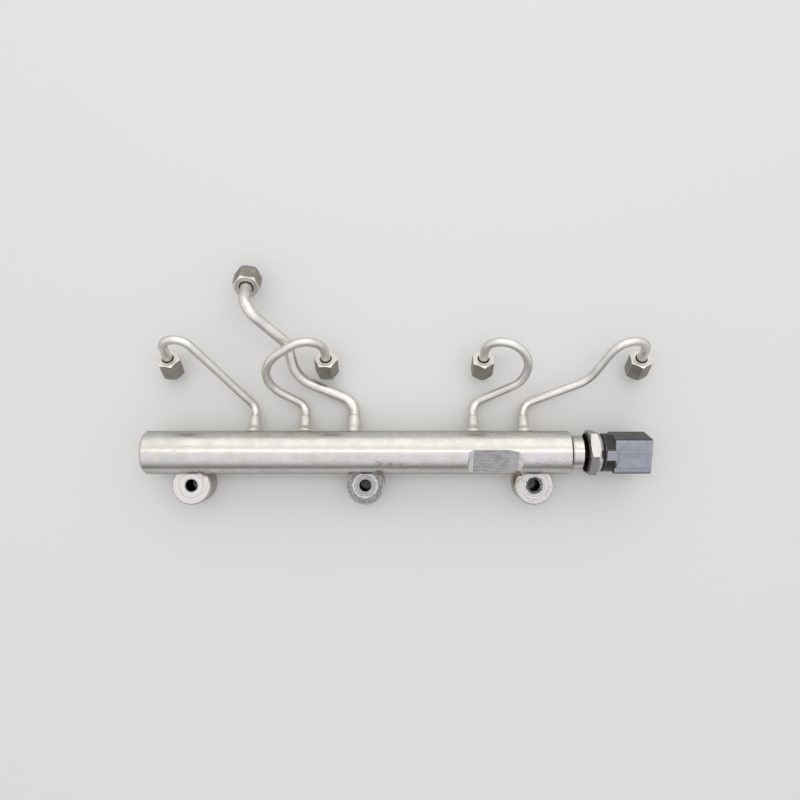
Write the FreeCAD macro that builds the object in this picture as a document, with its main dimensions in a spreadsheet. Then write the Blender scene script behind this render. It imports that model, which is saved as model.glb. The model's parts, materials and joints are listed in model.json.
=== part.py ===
import FreeCAD, Part
import math
import os
import re

import Sketcher

# Fuel rail of a petrol engine with direct injection, for four cylinders.
# A thick steel rail tube carries three bolt bosses on one side. On the other side five brazed
# ferrules hold bent steel lines: four go to the injectors and the thicker one comes from the pump.
# Each line ends in a ball nipple with a captive union nut. A pressure sensor closes the stepped end.
#
# Frame: +X runs along the rail towards the sensor, +Y points from the bolt holes to the lines and
# +Z points up. The origin is the middle bolt hole's centre on the plane the bosses seat on.

doc = FreeCAD.newDocument("fuel_rail")
sheet = doc.addObject("Spreadsheet::Sheet", "Sizes")

# Every driving size in millimetres, or degrees where the note says so.
SIZES = [
    ("rail_diameter", 25.0, "rail tube, outside"),
    ("rail_bore", 10.0, "fuel space along the rail"),
    ("rail_left_reach", 126.8, "origin to the closed end"),
    ("rail_right_reach", 118.5, "origin to the step at the sensor end"),
    ("rail_end_wall", 9.0, "solid metal left at the closed end"),
    ("rail_chamfer", 1.3, "both ends of the full diameter"),
    ("rail_offset", 19.6, "row of bolt holes to the rail axis"),
    ("rail_height", 18.8, "seat plane to the rail axis"),
    ("neck_diameter", 19.2, "stepped end that takes the sensor"),
    ("neck_length", 7.5, "step to the port's mouth"),
    ("neck_groove_depth", 0.5, "shallow ring turned beside the step"),
    ("neck_groove_width", 1.2, "the same ring"),
    ("neck_chamfer", 1.2, "rim of the port"),
    ("port_diameter", 12.0, "sensor port"),
    ("port_depth", 12.0, "straight part of the port"),
    ("flat_start", 60.2, "origin to the pressed flat's floor"),
    ("flat_length", 25.3, "floor of the pressed flat"),
    ("flat_depth", 2.45, "below the tube's surface"),
    ("flat_left_ramp", 1.6, "run-out on the left"),
    ("flat_right_ramp", 3.8, "run-out on the right"),
    ("flat_turn", 26.0, "degrees from straight up, towards the bolts"),
    ("boss_diameter", 22.5, "bolt bosses"),
    ("boss_height", 15.8, "seat plane to the bolt's face"),
    ("boss_chamfer", 0.7, "outer edges of a boss"),
    ("boss_left_reach", 101.5, "origin to the left bolt hole"),
    ("boss_right_reach", 98.7, "origin to the right bolt hole"),
    ("bolt_hole", 7.0, "clearance hole for an M6 bolt"),
    ("bolt_hole_chamfer", 0.4, "upper rim of the left and middle holes"),
    ("bolt_countersink", 1.35, "worn lead-in of the right hole"),
    ("braze_gap", 0.05, "capillary gap between brazed pieces"),
    ("outlet_angle", 30.0, "degrees that the ferrules point below level"),
    ("outlet_drilling", 3.0, "cross holes to the injector lines"),
    ("feed_drilling", 3.5, "cross hole from the feed line"),
    ("ferrule_length", 10.6, "tube surface to the ferrule's mouth"),
    ("ferrule_wall", 0.65, "round the line"),
    ("ferrule_chamfer", 0.45, "mouth"),
    ("ferrule_foot_spread", 1.7, "foot ring beyond the ferrule's side"),
    ("ferrule_foot_height", 0.7, "foot ring, from the tube's surface"),
    ("ferrule_flare_height", 3.2, "cone between the foot and the side"),
    ("socket_depth", 7.0, "line inside its ferrule"),
    ("line_diameter", 5.0, "injector lines"),
    ("line_bore", 2.5, "injector lines"),
    ("feed_diameter", 6.35, "feed line"),
    ("feed_bore", 3.6, "feed line"),
    ("outlet_1", -65.6, "injector line 1 on the rail"),
    ("outlet_2", -35.9, "injector line 2 on the rail"),
    ("outlet_3", 63.6, "injector line 3 on the rail"),
    ("outlet_4", 93.1, "injector line 4 on the rail"),
    ("outlet_feed", -7.1, "feed line on the rail"),
    ("outlet_straight_1", 6.7, "ferrule's mouth to injector line 1's first bend point"),
    ("outlet_straight_2", 7.8, "the same on line 2"),
    ("outlet_straight_3", 9.1, "the same on line 3"),
    ("outlet_straight_4", 8.1, "the same on line 4"),
    ("feed_outlet_straight", 10.3, "the same on the feed line"),
    ("cylinder_pitch", 91.5, "distance between injectors"),
    ("first_nut_reach", 114.3, "origin back to injector nut 1"),
    ("nut_row", 54.4, "rail axis to the injector nuts' faces"),
    ("nut_rise", 18.45, "seat plane to the injector nuts' faces"),
    ("nut_tilt", 34.0, "degrees that the injector nuts lean towards the rail"),
    ("nut_straight_1", 19.4, "nut's face to injector line 1's last bend point"),
    ("nut_straight_2", 11.3, "the same on line 2"),
    ("nut_straight_3", 17.8, "the same on line 3"),
    ("nut_straight_4", 16.6, "the same on line 4"),
    ("feed_nut_step", 45.7, "injector nut 1 to the feed nut, along the rail"),
    ("feed_nut_row", 95.2, "rail axis to the feed nut's face"),
    ("feed_nut_rise", 19.8, "seat plane to the feed nut's face"),
    ("feed_nut_tilt", 40.0, "degrees that the feed nut leans away from the rail"),
    ("feed_nut_turn", 6.0, "degrees that the feed nut is swung about the vertical"),
    ("feed_nut_straight", 20.9, "feed nut's face to the feed line's last bend point"),
    ("nut_width", 12.0, "injector nut across its flats"),
    ("nut_length", 13.0, "injector nut"),
    ("nut_thread", 8.9, "tapped bore of an injector nut"),
    ("feed_nut_width", 14.0, "feed nut across its flats"),
    ("feed_nut_length", 13.5, "feed nut"),
    ("feed_nut_thread", 10.4, "tapped bore of the feed nut"),
    ("nut_crown", 0.95, "chamfer circle as a share of the width"),
    ("nut_end_wall", 3.0, "wall that pushes on the nipple"),
    ("nut_relief_depth", 0.6, "groove at the thread's end"),
    ("nut_relief_width", 2.0, "groove at the thread's end"),
    ("nut_thread_start", 9.1, "nut's face to the thread"),
    ("nut_mouth_chamfer", 0.8, "thread's lead-in"),
    ("spin_1", 54.0, "degrees, a corner of injector nut 1"),
    ("spin_2", -2.0, "degrees, a corner of injector nut 2"),
    ("spin_3", 32.0, "degrees, a corner of injector nut 3"),
    ("spin_4", 30.0, "degrees, a corner of injector nut 4"),
    ("spin_feed", 44.0, "degrees, a corner of the feed nut"),
    ("sleeve_wall", 0.3, "nipple round its line"),
    ("sleeve_stand", 1.6, "injector nipple above the nut's face"),
    ("feed_sleeve_stand", 4.5, "feed nipple above the nut's face"),
    ("sleeve_gap", 0.7, "nipple's sleeve to the nut's hole"),
    ("nipple_gap", 0.3, "nipple's shoulder to the nut's cone"),
    ("collar_gap", 0.5, "nipple's collar to the tapped bore"),
    ("collar_length", 1.9, "nipple's collar"),
    ("ball_share", 0.88, "ball's radius as a share of the collar's"),
    ("nose_land", 0.8, "flat ring on the ball's end"),
    ("nipple_stop", 2.0, "line's end above the nipple's collar"),
    ("shank_gap", 0.05, "sensor's shank to its port"),
    ("sensor_hole", 2.5, "pressure hole in the sensor's tip"),
    ("sensor_hole_depth", 8.0, "the same hole"),
    ("undercut_depth", 0.8, "groove at the shank's end"),
    ("undercut_width", 1.8, "the same groove"),
    ("hex_stand", 2.0, "port's mouth to the sensor's hexagon"),
    ("hex_width", 24.0, "sensor's hexagon across its flats"),
    ("hex_length", 4.8, "sensor's hexagon"),
    ("hex_spin", 36.5, "degrees, a corner of the hexagon"),
    ("hex_crown", 0.98, "chamfer circle as a share of the width"),
    ("washer_height", 0.8, "turned face under the hexagon"),
    ("washer_diameter", 22.4, "the same face"),
    ("crimp_diameter", 23.6, "crimped ring, beside the hexagon"),
    ("crimp_end_diameter", 21.2, "crimped ring, where it is pressed in"),
    ("crimp_length", 3.2, "crimped ring"),
    ("crimp_wall", 1.4, "crimped ring"),
    ("crimp_gap", 0.1, "connector's foot inside the ring"),
    ("connector_neck", 6.2, "crimped ring to the connector's box"),
    ("connector_neck_gap", 0.6, "groove between the ring and the neck"),
    ("connector_neck_diameter", 22.0, "neck between the ring and the box"),
    ("connector_width", 20.5, "box"),
    ("connector_height", 18.0, "box"),
    ("connector_length", 20.9, "box"),
    ("connector_turn", 14.0, "degrees that the box leans towards the bolts"),
    ("connector_round", 1.6, "long edges of the box"),
    ("socket_wall", 1.8, "walls round the terminals"),
    ("socket_reach", 15.0, "depth of the connector's socket"),
    ("rib_width", 0.9, "long ribs on the box"),
    ("rib_height", 0.45, "the same ribs"),
    ("rib_left", 1.1, "first rib, beside the middle"),
    ("rib_right", 7.3, "second rib, on the other side"),
    ("latch_width", 5.8, "locking tongue on the neck"),
    ("latch_shift", 2.0, "the tongue's middle towards the lines"),
    ("latch_length", 5.4, "the same tongue"),
    ("latch_height", 1.1, "above the neck"),
    ("terminal_width", 1.5, "blade"),
    ("terminal_thickness", 0.7, "blade"),
    ("terminal_pitch", 4.2, "blade to blade"),
    ("terminal_reach", 9.5, "blade out of the socket's floor"),
    ("terminal_root", 3.0, "blade inside the plastic"),
]

# Bend points between a line's first and last ones, from its ferrule on, in X, Y and Z from its nut's face.
BENDS = {
    "line_1": [(14.6, 8.5, 14.5)],
    "line_2": [(-37.3, -14.3, -2.5), (-30.7, -1.4, 11.5), (-11.3, 9.7, 17.5)],
    "line_3": [(22.2, -13.7, -0.5), (28.7, 4.5, 14.5)],
    "line_4": [(-29.9, -12.6, -2.5), (-16.9, 7.8, 14.5)],
    "line_feed": [(27.3, -51.5, -10.0), (23.9, -32.6, 0.0)],
}

# Bend radii of a line's centre, from its ferrule on. A short run makes its two radii smaller.
RADII = {
    "line_1": [6.7, 11.0, 8.5],
    "line_2": [6.5, 18.0, 17.0, 13.0, 10.5],
    "line_3": [6.8, 15.5, 15.5, 9.5],
    "line_4": [7.5, 20.0, 13.0, 8.5],
    "line_feed": [8.8, 18.0, 14.0, 11.5],
}


def write_sheet():
    """Put every size on the sheet and give each cell its alias."""
    rows = list(SIZES)
    for line, bends in BENDS.items():
        for number, offsets in enumerate(bends, 1):
            for way, offset in zip("xyz", offsets):
                rows.append((f"{line}_bend_{number}_{way}", offset, "bend point from the nut's face"))
    for line, radii in RADII.items():
        for number, radius in enumerate(radii, 1):
            rows.append((f"{line}_radius_{number}", radius, "bend radius"))
    for row, (name, number, note) in enumerate(rows, 1):
        sheet.set(f"A{row}", name)
        sheet.set(f"B{row}", str(number))
        sheet.set(f"C{row}", note)
        sheet.setAlias(f"B{row}", name)
    doc.recompute()
    return {name for name, number, note in rows}


ALIASES = write_sheet()


def formula(text):
    """Lead each size in a formula with the sheet's name."""
    return re.sub(r"[a-z]\w*", lambda word: f"Sizes.{word[0]}" if word[0] in ALIASES else word[0], text)


def value(text):
    return float(sheet.evalExpression(formula(text)))


def new_body(name, place="", turn=""):
    """A body of its own; place is a formula for a point and turn one for a rotation."""
    body = doc.addObject("PartDesign::Body", name)
    body.Label = name
    point = f"vector({place})" if place else "vector(0; 0; 0)"
    rotation = turn if turn else "rotation(vector(0; 0; 1); 0)"
    body.setExpression("Placement", formula(f"placement({point}; {rotation})"))
    return body


def new_sketch(body, name, role, lift="0", turn="0"):
    """A sketch on one of the body's own origin planes, lifted off it and turned about its X axis."""
    sketch = body.newObject("Sketcher::SketchObject", name)
    plane = next(face for face in body.Origin.OriginFeatures if face.Role == role)
    sketch.AttachmentSupport = (plane, [""])
    sketch.MapMode = "FlatFace"
    offset = f"placement(vector(0; 0; {lift}); rotation(vector(1; 0; 0); {turn}))"
    sketch.setExpression("AttachmentOffset", formula(offset))
    return sketch


def fix_point(sketch, curve, end, across, up):
    """Hold a curve's point at its two formulas from the sketch's origin."""
    for kind, text in (("DistanceX", across), ("DistanceY", up)):
        index = sketch.addConstraint(Sketcher.Constraint(kind, -1, 1, curve, end, value(text)))
        sketch.setExpression(f"Constraints[{index}]", formula(text))


def draw_outline(sketch, corners):
    """A closed outline of straight lines through corners given by formulas."""
    first = sketch.GeometryCount
    points = [FreeCAD.Vector(value(across), value(up), 0) for across, up in corners]
    count = len(points)
    for number in range(count):
        sketch.addGeometry(Part.LineSegment(points[number], points[(number + 1) % count]))
    for number in range(count):
        after = first + (number + 1) % count
        sketch.addConstraint(Sketcher.Constraint("Coincident", first + number, 2, after, 1))
    for number, (across, up) in enumerate(corners):
        fix_point(sketch, first + number, 1, across, up)


def draw_circle(sketch, across, up, radius):
    centre = FreeCAD.Vector(value(across), value(up), 0)
    index = sketch.addGeometry(Part.Circle(centre, FreeCAD.Vector(0, 0, 1), value(radius)))
    fix_point(sketch, index, 3, across, up)
    held = sketch.addConstraint(Sketcher.Constraint("Radius", index, value(radius)))
    sketch.setExpression(f"Constraints[{held}]", formula(radius))


def draw_hexagon(sketch, width, spin):
    corner = f"({width}) / 2 / cos(30)"
    draw_outline(sketch, [
        (f"{corner} * cos({spin} + {60 * side})", f"{corner} * sin({spin} + {60 * side})") for side in range(6)])


def add_feature(body, kind, name, sketch, **settings):
    """Add a feature on a sketch, and stop if it left the body's volume as it was."""
    before = body.Shape.Volume if body.Tip else 0.0
    feature = body.newObject("PartDesign::" + kind, name)
    feature.Profile = sketch
    for setting, given in settings.items():
        if setting == "ReferenceAxis":
            feature.ReferenceAxis = (sketch, [given])
        elif isinstance(given, str) and setting == "Length":
            feature.setExpression("Length", formula(given))
        else:
            setattr(feature, setting, given)
    sketch.Visibility = False
    doc.recompute()
    change = body.Shape.Volume - before
    if kind in ("Pocket", "Groove") and change > -1e-3 or kind in ("Pad", "Revolution") and change < 1e-3:
        raise ValueError(f"{body.Name}: {name} changes nothing")
    return feature


def turn_round(body, name, corners, axis="H_Axis", cut=False):
    """Turn an outline about the body's X axis (H_Axis) or, drawn upright, its Z axis (V_Axis)."""
    sketch = new_sketch(body, name + "_outline", "XY_Plane" if axis == "H_Axis" else "XZ_Plane")
    draw_outline(sketch, corners)
    add_feature(body, "Groove" if cut else "Revolution", name, sketch, ReferenceAxis=axis, Angle=360.0)


def rail_body():
    """One forged and drilled tube: closed left end, stepped right end with the sensor's port."""
    body = new_body("rail_body", "0; rail_offset; rail_height", "rotation(vector(1; 0; 0); 0 - outlet_angle)")
    radius, neck = "rail_diameter / 2", "neck_diameter / 2"
    mouth = "rail_right_reach + neck_length"
    turn_round(body, "blank", [
        ("0 - rail_left_reach", "0"),
        ("0 - rail_left_reach", f"{radius} - rail_chamfer"),
        ("0 - rail_left_reach + rail_chamfer", radius),
        ("rail_right_reach - rail_chamfer", radius),
        ("rail_right_reach", f"{radius} - rail_chamfer"),
        ("rail_right_reach", f"{neck} - neck_groove_depth"),
        ("rail_right_reach + neck_groove_width", f"{neck} - neck_groove_depth"),
        ("rail_right_reach + neck_groove_width", neck),
        (f"{mouth} - neck_chamfer", neck),
        (mouth, f"{neck} - neck_chamfer"),
        (mouth, "0"),
    ])
    cone = "(port_diameter - rail_bore) / 2"
    turn_round(body, "bore", [
        ("0 - rail_left_reach + rail_end_wall", "0"),
        ("0 - rail_left_reach + rail_end_wall + rail_bore / 4", "rail_bore / 2"),
        (f"{mouth} - port_depth - {cone}", "rail_bore / 2"),
        (f"{mouth} - port_depth", "port_diameter / 2"),
        (mouth, "port_diameter / 2"),
        (mouth, "0"),
    ], cut=True)
    for name, drilling, places in (
            ("injector_drillings", "outlet_drilling", ["outlet_1", "outlet_2", "outlet_3", "outlet_4"]),
            ("inlet_drilling", "feed_drilling", ["outlet_feed"])):
        sketch = new_sketch(body, name + "_holes", "XZ_Plane")
        for place in places:
            draw_circle(sketch, place, "0", f"{drilling} / 2")
        add_feature(body, "Pocket", name, sketch, Length=f"{radius} + 1")
    floor = f"{radius} - flat_depth"
    above = f"{radius} + flat_depth"
    sketch = new_sketch(body, "flat_outline", "XZ_Plane", turn="outlet_angle + flat_turn")
    draw_outline(sketch, [
        ("flat_start - 2 * flat_left_ramp", above),
        ("flat_start - flat_left_ramp / 2", f"{floor} + flat_depth / 4"),
        ("flat_start + flat_left_ramp", floor),
        ("flat_start + flat_length - flat_right_ramp", floor),
        ("flat_start + flat_length + flat_right_ramp / 2", f"{floor} + flat_depth / 4"),
        ("flat_start + flat_length + 2 * flat_right_ramp", above),
    ])
    add_feature(body, "Pocket", "pressed_flat", sketch, Length="rail_diameter", Midplane=True)
    return body


def boss(name, place, lead_in):
    """A turned bush, coped to the tube's side and brazed there."""
    body = new_body(name, f"{place}; 0; 0")
    outer, hole = "boss_diameter / 2", "bolt_hole / 2"
    turn_round(body, "bush", [
        (hole, "0"),
        (f"{outer} - boss_chamfer", "0"),
        (outer, "boss_chamfer"),
        (outer, "boss_height - boss_chamfer"),
        (f"{outer} - boss_chamfer", "boss_height"),
        (f"{hole} + {lead_in}", "boss_height"),
        (hole, f"boss_height - {lead_in}"),
    ], axis="V_Axis")
    sketch = new_sketch(body, "cope_outline", "YZ_Plane")
    draw_circle(sketch, "rail_offset", "rail_height", "rail_diameter / 2 + braze_gap")
    add_feature(body, "Pocket", "cope", sketch, Length="2 * boss_diameter", Midplane=True)
    return body


def ferrule(name, place, line, foot_spread):
    """A turned socket with its foot coped to the tube, brazed over a drilling."""
    body = new_body(name, f"{place}; rail_offset; rail_height", "rotation(vector(1; 0; 0); 0 - 90 - outlet_angle)")
    tube = "rail_diameter / 2"
    socket = f"{line}_diameter / 2 + braze_gap"
    side = f"({socket} + ferrule_wall)"
    foot = f"({side} + {foot_spread})"
    drilling = f"{line}_bore / 2"
    start = f"sqrt(rail_diameter ^ 2 / 4 - {foot} ^ 2) - 1"
    mouth = f"{tube} + ferrule_length"
    corners = [(drilling, start), (foot, start)]
    if value(foot_spread) > 0:
        corners += [
            (foot, f"{tube} + ferrule_foot_height"),
            (side, f"{tube} + ferrule_foot_height + ferrule_flare_height"),
        ]
    corners += [
        (side, f"{mouth} - ferrule_chamfer"),
        (f"{side} - ferrule_chamfer", mouth),
        (socket, mouth),
        (socket, f"{mouth} - socket_depth"),
        (drilling, f"{mouth} - socket_depth"),
    ]
    turn_round(body, "socket", corners, axis="V_Axis")
    sketch = new_sketch(body, "cope_outline", "YZ_Plane")
    draw_circle(sketch, "0", "0", f"{tube} + braze_gap")
    add_feature(body, "Pocket", "cope", sketch, Length="2 * rail_diameter", Midplane=True)
    return body


NUT_TURN = "rotation(vector(1; 0; 0); 0 - nut_tilt)"
FEED_NUT_TURN = "rotation(vector(0; 0; 1); feed_nut_turn) * rotation(vector(1; 0; 0); feed_nut_tilt)"


def injector_nut_place(number):
    across = f"0 - first_nut_reach + {number - 1} * cylinder_pitch"
    return f"{across}; rail_offset + nut_row; nut_rise"


FEED_NUT_PLACE = "0 - first_nut_reach + feed_nut_step; rail_offset + feed_nut_row; feed_nut_rise"


def union_nut(name, place, turn, nut, line, spin):
    """A captive nut: hexagon with both ends crowned, end wall with a cone, relief groove, thread bore.

    Its Z axis points out of the end that the line comes through, and its upper face is at zero.
    """
    body = new_body(name, place, turn)
    corner, crown = f"{nut}_width / 2 / cos(30)", f"{nut}_width / 2 * nut_crown"
    sketch = new_sketch(body, "hexagon_outline", "XY_Plane")
    draw_hexagon(sketch, f"{nut}_width", spin)
    add_feature(body, "Pad", "hexagon", sketch, Length=f"{nut}_length", Reversed=True)
    for end, face, way in (("upper_crown", "0", "-"), ("lower_crown", f"0 - {nut}_length", "+")):
        turn_round(body, end, [
            (crown, face),
            (f"{corner} + 1", face),
            (f"{corner} + 1", f"{face} {way} ({corner} + 1 - {crown}) * tan(30)"),
        ], axis="V_Axis", cut=True)
    hole = f"{line}_diameter / 2 + braze_gap + sleeve_wall + sleeve_gap"
    thread = f"{nut}_thread / 2"
    relief = f"{thread} + nut_relief_depth"
    turn_round(body, "bore", [
        ("0", "0"),
        (hole, "0"),
        (hole, "0 - nut_end_wall"),
        (thread, f"0 - nut_end_wall - ({thread} - ({hole}))"),
        (thread, "0 - nut_thread_start + nut_relief_width"),
        (relief, "0 - nut_thread_start + nut_relief_width - nut_relief_depth"),
        (relief, "0 - nut_thread_start + nut_relief_depth"),
        (thread, "0 - nut_thread_start"),
        (thread, f"0 - {nut}_length + nut_mouth_chamfer"),
        (f"{thread} + nut_mouth_chamfer", f"0 - {nut}_length"),
        ("0", f"0 - {nut}_length"),
    ], axis="V_Axis", cut=True)
    return body


def nipple_levels(nut, line):
    """The nipple's radii and heights, in its nut's own frame, as formulas."""
    socket = f"{line}_diameter / 2 + braze_gap"
    sleeve = f"{socket} + sleeve_wall"
    hole = f"{sleeve} + sleeve_gap"
    collar = f"{nut}_thread / 2 - collar_gap"
    drop = "nipple_gap / cos(45)"
    shoulder = f"0 - nut_end_wall - {drop} + sleeve_gap"
    collar_top = f"0 - nut_end_wall - {drop} - ({collar} - ({hole}))"
    return {
        "socket": socket, "sleeve": sleeve, "collar": collar, "shoulder": shoulder,
        "collar_top": collar_top, "collar_foot": f"{collar_top} - collar_length",
        "stop": f"{collar_top} + nipple_stop",
    }


def nipple(name, place, turn, nut, line, stand):
    """A ball nipple brazed on the line's end: sleeve through the nut, collar, ball nose."""
    body = new_body(name, place, turn)
    at = nipple_levels(nut, line)
    bore = f"{line}_bore / 2"
    ball = f"({at['collar']}) * ball_share"
    land = f"({bore} + nose_land)"
    sketch = new_sketch(body, "nipple_outline", "XZ_Plane")
    corners = [
        (bore, f"{at['collar_foot']} - sqrt(({ball}) ^ 2 - {land} ^ 2)"),
        (bore, at["stop"]),
        (at["socket"], at["stop"]),
        (at["socket"], stand),
        (at["sleeve"], stand),
        (at["sleeve"], at["shoulder"]),
        (at["collar"], at["collar_top"]),
        (at["collar"], at["collar_foot"]),
        (ball, at["collar_foot"]),
        (land, f"{at['collar_foot']} - sqrt(({ball}) ^ 2 - {land} ^ 2)"),
    ]
    points = [FreeCAD.Vector(value(across), value(up), 0) for across, up in corners]
    count = len(points)
    arc = count - 2
    centre = FreeCAD.Vector(0, value(at["collar_foot"]), 0)
    circle = Part.Circle(centre, FreeCAD.Vector(0, 0, 1), value(ball))
    for number, point in enumerate(points):
        if number == arc:
            sketch.addGeometry(Part.ArcOfCircle(circle, -math.acos(value(land) / value(ball)), 0.0))
        else:
            sketch.addGeometry(Part.LineSegment(point, points[(number + 1) % count]))
    ends = [(number, 1, 2) for number in range(count)]
    ends[arc] = (arc, 2, 1)
    for number in range(count):
        here, following = ends[number], ends[(number + 1) % count]
        sketch.addConstraint(Sketcher.Constraint("Coincident", here[0], here[2], following[0], following[1]))
    for number, (across, up) in enumerate(corners):
        fix_point(sketch, number, ends[number][1], across, up)
    sketch.addConstraint(Sketcher.Constraint("PointOnObject", arc, 3, -2))
    add_feature(body, "Revolution", "nipple", sketch, ReferenceAxis="V_Axis", Angle=360.0)
    return body


def axis_of(turn):
    """The Z axis of a turned body."""
    return sheet.evalExpression(formula(turn)).multVec(FreeCAD.Vector(0, 0, 1))


def point_at(place):
    return FreeCAD.Vector(*[value(text) for text in place.split(";")])


def bent_path(points, radii):
    """Straight runs through the points, joined by tangent arcs that the runs have room for."""
    turns, tangents = [], []
    for before, here, after, radius in zip(points, points[1:], points[2:], radii):
        turn = (here - before).getAngle(after - here)
        turns.append(turn)
        tangents.append(radius * math.tan(turn / 2))
    runs = [(after - here).Length for here, after in zip(points, points[1:])]
    claimed = [0.0] + tangents + [0.0]
    room = [min(1.0, 0.97 * run / (claimed[i] + claimed[i + 1])) for i, run in enumerate(runs)]
    edges, start = [], points[0]
    for number, turn in enumerate(turns):
        before, here, after = points[number:number + 3]
        tangent = tangents[number] * min(room[number], room[number + 1])
        arrive = here + (before - here).normalize() * tangent
        leave = here + (after - here).normalize() * tangent
        inward = ((arrive + leave) * 0.5 - here).normalize()
        reach = tangent * (1 / math.sin(turn / 2) - 1 / math.tan(turn / 2))
        edges.append(Part.LineSegment(start, arrive).toShape())
        edges.append(Part.Arc(arrive, here + inward * reach, leave).toShape())
        start = leave
    edges.append(Part.LineSegment(start, points[-1]).toShape())
    return Part.Wire(edges)


def line(name, route, outlet, place, turn, nut, kind, leads):
    """A bent tube from its ferrule's socket to its nipple, with its bore open at both ends."""
    mouth = FreeCAD.Vector(value(outlet), value("rail_offset"), value("rail_height"))
    down = math.radians(value("outlet_angle"))
    outward = FreeCAD.Vector(0, math.cos(down), -math.sin(down))
    mouth += outward * value("rail_diameter / 2 + ferrule_length")
    face, upward = point_at(place), axis_of(turn)
    points = [mouth - outward * value("socket_depth"), mouth + outward * value(leads[0])]
    for number in range(1, len(BENDS[route]) + 1):
        points.append(face + FreeCAD.Vector(*[value(f"{route}_bend_{number}_{way}") for way in "xyz"]))
    points += [face + upward * value(leads[1]), face + upward * value(nipple_levels(nut, kind)["stop"])]
    radii = [value(f"{route}_radius_{number}") for number in range(1, len(points) - 1)]
    path = doc.addObject("Part::Feature", name + "_path")
    path.Shape = bent_path(points, radii)
    sweeps = []
    for suffix, size in (("outside", f"{kind}_diameter / 2"), ("bore", f"{kind}_bore / 2")):
        ring = doc.addObject("Part::Circle", f"{name}_{suffix}_ring")
        ring.setExpression("Radius", formula(size))
        ring.Placement = FreeCAD.Placement(points[0], FreeCAD.Rotation(FreeCAD.Vector(0, 0, 1), outward))
        sweep = doc.addObject("Part::Sweep", f"{name}_{suffix}")
        sweep.Sections = [ring]
        sweep.Spine = (path, [f"Edge{edge}" for edge in range(1, len(path.Shape.Edges) + 1)])
        sweep.Solid = True
        sweeps.append(sweep)
    tube = doc.addObject("Part::Cut", name)
    tube.Label = name
    tube.Base, tube.Tool = sweeps
    doc.recompute()
    expected = path.Shape.Length * math.pi / 4 * (value(f"{kind}_diameter") ** 2 - value(f"{kind}_bore") ** 2)
    if abs(tube.Shape.Volume / expected - 1) > 0.01:
        raise ValueError(f"{name}: {tube.Shape.Volume:.0f} mm3 where the section gives {expected:.0f}")
    return tube


SENSOR_PLACE = "rail_right_reach + neck_length; rail_offset; rail_height"


def sensor_housing():
    """The turned steel body: sealing cone, shank, undercut, hexagon and the ring crimped on the plastic."""
    body = new_body("sensor_housing", SENSOR_PLACE)
    shank = "port_diameter / 2 - shank_gap"
    seat = "(port_diameter - rail_bore) / 2"
    tip = f"0 - port_depth - {seat} + shank_gap"
    hex_end = "hex_stand + hex_length"
    ring_end = f"{hex_end} + crimp_length"
    pocket = "crimp_end_diameter / 2 - crimp_wall"
    turn_round(body, "shank", [
        (f"{tip} + sensor_hole_depth", "0"),
        (f"{tip} + sensor_hole_depth", "sensor_hole / 2"),
        (tip, "sensor_hole / 2"),
        (tip, f"{shank} - {seat}"),
        (f"{tip} + {seat}", shank),
        ("hex_stand - washer_height - undercut_width", shank),
        ("hex_stand - washer_height - undercut_width", f"{shank} - undercut_depth"),
        ("hex_stand - washer_height", f"{shank} - undercut_depth"),
        ("hex_stand - washer_height", "washer_diameter / 2"),
        ("hex_stand", "washer_diameter / 2"),
        ("hex_stand", "crimp_diameter / 2"),
        (f"{hex_end} + crimp_wall / 2", "crimp_diameter / 2"),
        (f"{ring_end} - crimp_wall / 2", "crimp_end_diameter / 2"),
        (ring_end, "crimp_end_diameter / 2 - crimp_wall / 2"),
        (ring_end, pocket),
        (hex_end, pocket),
        (hex_end, "0"),
    ])
    sketch = new_sketch(body, "hexagon_outline", "YZ_Plane", lift="hex_stand")
    draw_hexagon(sketch, "hex_width", "hex_spin")
    add_feature(body, "Pad", "hexagon", sketch, Length="hex_length")
    corner, crown = "hex_width / 2 / cos(30)", "hex_width / 2 * hex_crown"
    for end, face, way in (("near_crown", "hex_stand", "+"), ("far_crown", hex_end, "-")):
        turn_round(body, end, [
            (face, crown),
            (face, f"{corner} + 1"),
            (f"{face} {way} ({corner} + 1 - {crown}) * tan(20)", f"{corner} + 1"),
        ], cut=True)
    return body


def long_edges(shape, length):
    """The edges that run along X for at least the length given."""
    names = []
    for number, edge in enumerate(shape.Edges, 1):
        ends = [vertex.Point for vertex in edge.Vertexes]
        if len(ends) == 2 and abs(abs(ends[1].x - ends[0].x) - edge.Length) < 1e-6 and edge.Length >= length:
            names.append(f"Edge{number}")
    return names


CONNECTOR_TURN = "rotation(vector(1; 0; 0); connector_turn)"
RING_END = "hex_stand + hex_length + crimp_length"


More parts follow.
